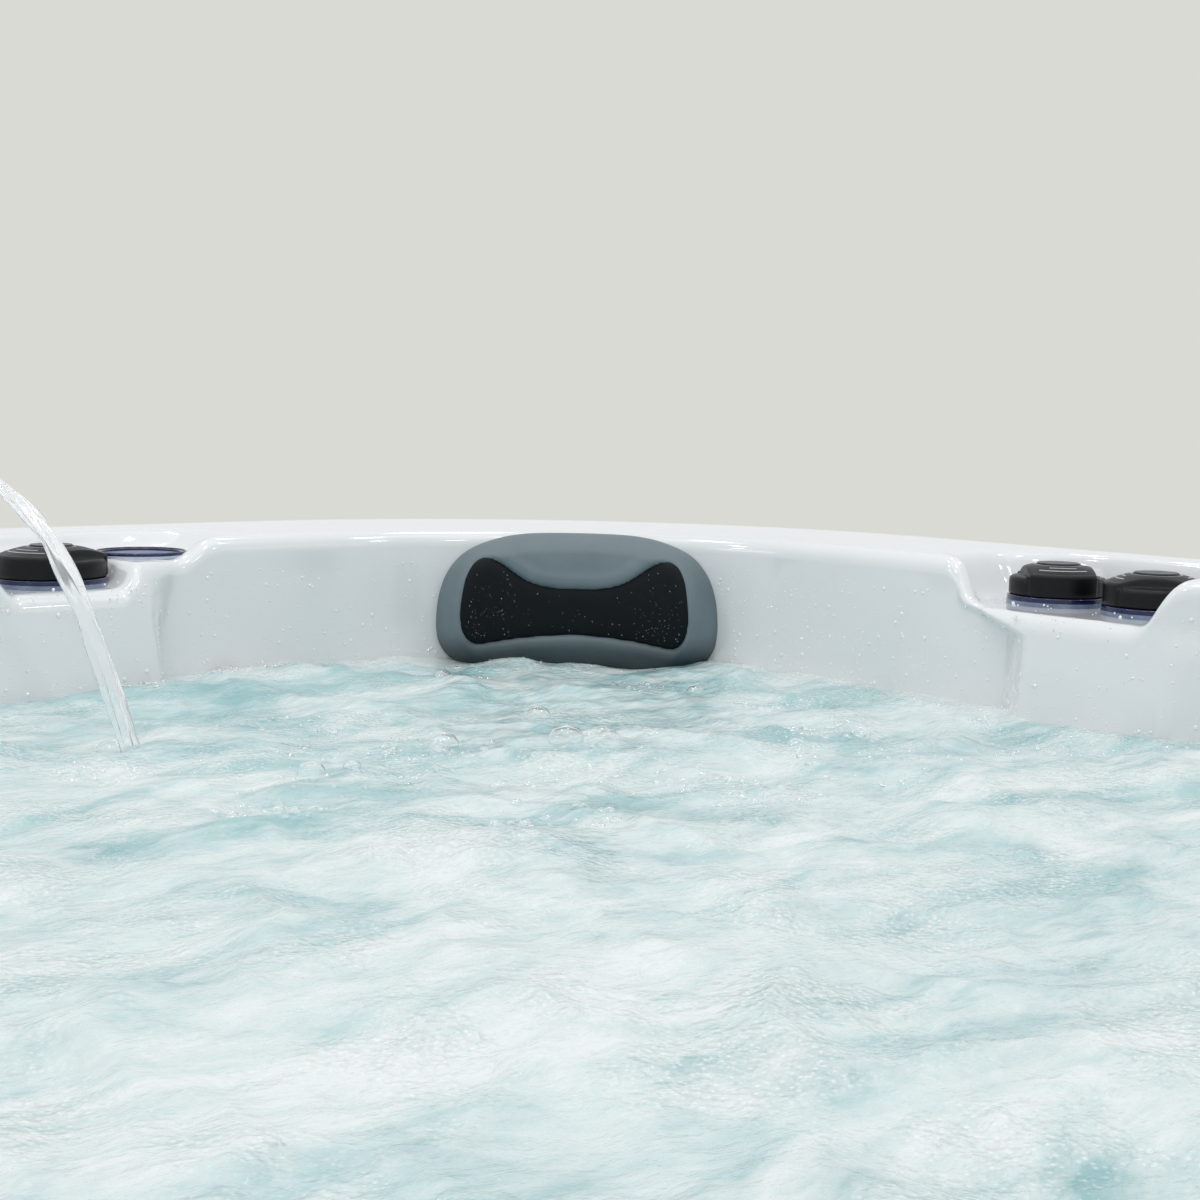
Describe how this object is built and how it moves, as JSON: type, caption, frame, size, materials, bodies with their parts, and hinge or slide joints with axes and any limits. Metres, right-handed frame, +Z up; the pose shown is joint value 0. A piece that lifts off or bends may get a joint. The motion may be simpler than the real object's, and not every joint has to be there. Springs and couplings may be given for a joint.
{
  "type": "hot tub",
  "caption": "Square hot tub with a white moulded bowl, corner pillows, sunken rim decks with turned valve caps and cup holders, a filter, jets and a boarded cabinet.",
  "frame": {"origin": "on the floor under the middle of the tub", "axes": "+Z up; +X and +Y are the two sides that meet at the corner with the first pillow, as pictured"},
  "size_m": [2.15, 2.15, 0.9192],
  "materials": {
    "acrylic": "glossy white acrylic",
    "cap_black": "fine satin black",
    "cap_disc": "fine satin black",
    "stem_plastic": "plain",
    "blue_ring": "clear navy blue",
    "flange_plastic": "pale grey blue",
    "cup_plastic": "pale frosted blue",
    "pillow_foam": "soft skinned foam",
    "pillow_dark": "soft skinned foam",
    "jet_plastic": "glossy grey",
    "white_plastic": "plain white",
    "light_lens": "frosted",
    "filter_cloth": "pleated cloth",
    "panel_plastic": "satin",
    "display_glass": "dark gloss",
    "button_plastic": "satin grey",
    "cabinet_board": "grained dark grey board",
    "screw_steel": "plain",
    "base_plastic": "pebbled black",
    "frame_wood": "sawn softwood",
    "pump_housing": "moulded black",
    "motor_paint": "grey paint",
    "heater_steel": "brushed",
    "box_paint": "grey paint",
    "pipe_plastic": "white pipe",
    "brass": "plain"
  },
  "bodies": {
    "body": {"shell": "acrylic", "valve_bodies": "flange_plastic", "valve_rings": "blue_ring", "cup_holders": "cup_plastic", "cup_holder_rings": "blue_ring", "large_jet_bodies": "white_plastic", "small_jet_bodies": "white_plastic", "small_jet_faces": "jet_plastic", "suction_grilles": "jet_plastic", "light_lens": "light_lens", "filter_canister": "white_plastic", "skimmer_frame": "jet_plastic", "panel_housing": "panel_plastic", "panel_display": "display_glass", "fountain_body": "jet_plastic", "side_panels": "cabinet_board", "front_panel": "cabinet_board", "corner_panels": "cabinet_board", "panel_screws": "screw_steel", "base_pan": "base_plastic", "frame_posts": "frame_wood", "frame_rails": "frame_wood", "pump_volute": "pump_housing", "pump_motor": "motor_paint", "plumbing_pipes": "pipe_plastic", "heater_tube": "heater_steel", "control_box": "box_paint", "drain_valve": "brass", "pillow_1": "pillow_foam", "pillow_insert_1": "pillow_dark", "pillow_2": "pillow_foam", "pillow_insert_2": "pillow_dark", "pillow_3": "pillow_foam", "pillow_insert_3": "pillow_dark"},
    "right_control_1": {"right_control_1_cap": "cap_black", "right_control_1_disc": "cap_disc", "right_control_1_stem": "stem_plastic"},
    "right_control_2": {"right_control_2_cap": "cap_black", "right_control_2_disc": "cap_disc", "right_control_2_stem": "stem_plastic"},
    "left_diverter": {"left_diverter_cap": "cap_black", "left_diverter_disc": "cap_disc", "left_diverter_stem": "stem_plastic"},
    "front_diverter": {"front_diverter_cap": "cap_black", "front_diverter_disc": "cap_disc", "front_diverter_stem": "stem_plastic"},
    "large_jet_1": {"large_jet_face_1": "jet_plastic"},
    "large_jet_2": {"large_jet_face_2": "jet_plastic"},
    "large_jet_3": {"large_jet_face_3": "jet_plastic"},
    "large_jet_4": {"large_jet_face_4": "jet_plastic"},
    "weir": {"skimmer_weir": "jet_plastic"},
    "filter": {"filter_lid": "cap_black", "filter_cartridge": "filter_cloth"},
    "button_1": {"panel_button_1": "button_plastic"},
    "button_2": {"panel_button_2": "button_plastic"},
    "button_3": {"panel_button_3": "button_plastic"},
    "button_4": {"panel_button_4": "button_plastic"},
    "impeller": {"pump_impeller": "stem_plastic"},
    "fountain": {"fountain_nozzle": "heater_steel"},
    "drain_cap": {"drain_cap": "cap_black"}
  },
  "joints": [
    {"name": "right_control_1_turn", "type": "hinge", "parent": "body", "child": "right_control_1", "pos_m": [0.934, 0.289, 0.867], "axis": [0, 0, 1], "range_deg": [0, 120]},
    {"name": "right_control_2_turn", "type": "hinge", "parent": "body", "child": "right_control_2", "pos_m": [0.925, 0.182, 0.867], "axis": [0, 0, 1], "range_deg": [0, 120]},
    {"name": "left_diverter_turn", "type": "hinge", "parent": "body", "child": "left_diverter", "pos_m": [0.234, 0.886, 0.867], "axis": [0, 0, 1], "range_deg": [-90, 90]},
    {"name": "front_diverter_turn", "type": "hinge", "parent": "body", "child": "front_diverter", "pos_m": [-0.234, -0.886, 0.867], "axis": [0, 0, 1], "range_deg": [-90, 90]},
    {"name": "large_jet_1_turn", "type": "hinge", "parent": "body", "child": "large_jet_1", "pos_m": [0.8408, -0.26, 0.61], "axis": [-0.9986, 0, 0.0523], "range_deg": [-60, 60]},
    {"name": "large_jet_2_turn", "type": "hinge", "parent": "body", "child": "large_jet_2", "pos_m": [-0.26, 0.8408, 0.61], "axis": [0, -0.9986, 0.0523], "range_deg": [-60, 60]},
    {"name": "large_jet_3_turn", "type": "hinge", "parent": "body", "child": "large_jet_3", "pos_m": [-0.8408, 0.26, 0.61], "axis": [0.9986, 0, 0.0523], "range_deg": [-60, 60]},
    {"name": "large_jet_4_turn", "type": "hinge", "parent": "body", "child": "large_jet_4", "pos_m": [0.26, -0.8408, 0.61], "axis": [0, 0.9986, 0.0523], "range_deg": [-60, 60]},
    {"name": "weir_swing", "type": "hinge", "parent": "body", "child": "weir", "pos_m": [-0.75826, -0.75826, 0.72321], "axis": [0.7071, -0.7071, 0], "range_deg": [-34, 0]},
    {"name": "filter_lift", "type": "slide", "parent": "body", "child": "filter", "axis": [0, 0, 1], "range_m": [0, 0.45]},
    {"name": "button_1_press", "type": "slide", "parent": "body", "child": "button_1", "axis": [0, 0, -1], "range_m": [0, 0.0012], "stiffness_N_per_m": 600, "springref_m": -0.001},
    {"name": "button_2_press", "type": "slide", "parent": "body", "child": "button_2", "axis": [0, 0, -1], "range_m": [0, 0.0012], "stiffness_N_per_m": 600, "springref_m": -0.001},
    {"name": "button_3_press", "type": "slide", "parent": "body", "child": "button_3", "axis": [0, 0, -1], "range_m": [0, 0.0012], "stiffness_N_per_m": 600, "springref_m": -0.001},
    {"name": "button_4_press", "type": "slide", "parent": "body", "child": "button_4", "axis": [0, 0, -1], "range_m": [0, 0.0012], "stiffness_N_per_m": 600, "springref_m": -0.001},
    {"name": "impeller_spin", "type": "hinge", "parent": "body", "child": "impeller", "pos_m": [-0.164, -0.735, 0.126], "axis": [1, 0, 0], "continuous": true},
    {"name": "fountain_tilt", "type": "hinge", "parent": "body", "child": "fountain", "pos_m": [0.07, 0.955, 0.896], "axis": [1, 0, 0], "range_deg": [-12, 12]},
    {"name": "drain_cap_turn", "type": "hinge", "parent": "body", "child": "drain_cap", "pos_m": [-0.4, -1.06, 0.072], "axis": [0, -1, 0], "range_deg": [0, 720]}
  ]
}
